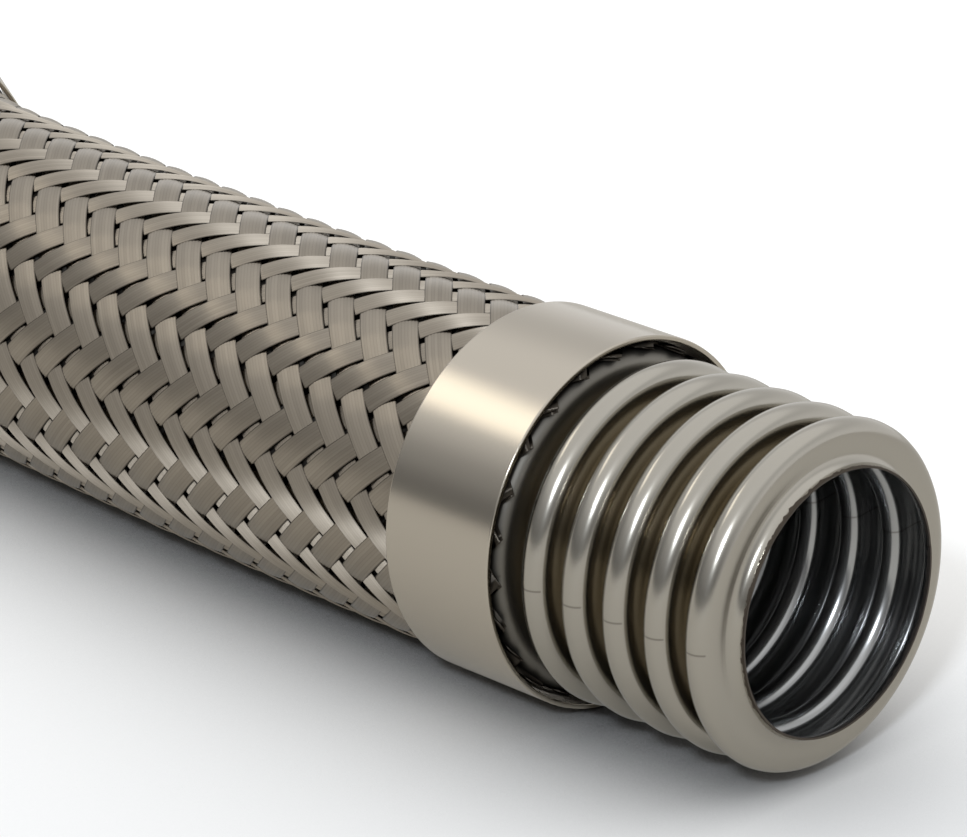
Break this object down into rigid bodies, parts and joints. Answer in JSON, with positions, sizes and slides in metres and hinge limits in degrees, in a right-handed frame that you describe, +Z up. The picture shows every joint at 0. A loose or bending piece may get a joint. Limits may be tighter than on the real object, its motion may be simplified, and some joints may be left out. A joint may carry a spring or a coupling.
{
  "type": "vacuum bellows hose",
  "caption": "Braided corrugated steel vacuum hose with bare convoluted ends and a plain ring over each end of the braid.",
  "frame": {"origin": "centre of the near cut end's bore", "axes": "+X out of the near end along the hose, +Z up from the surface that the hose lies on"},
  "size_m": [0.2999, 0.0975, 0.0564],
  "materials": {
    "corrugated_steel": "bright rolled stainless steel with brown-grey valleys",
    "braid_wire": "drawn stainless wire, laid side by side in flat strands",
    "ring_steel": "satin rolled stainless steel strip"
  },
  "bodies": {
    "root": {"bellows_tube": "corrugated_steel", "braid_sleeve": "braid_wire", "near_ring": "ring_steel", "far_ring": "ring_steel"}
  },
  "joints": []
}
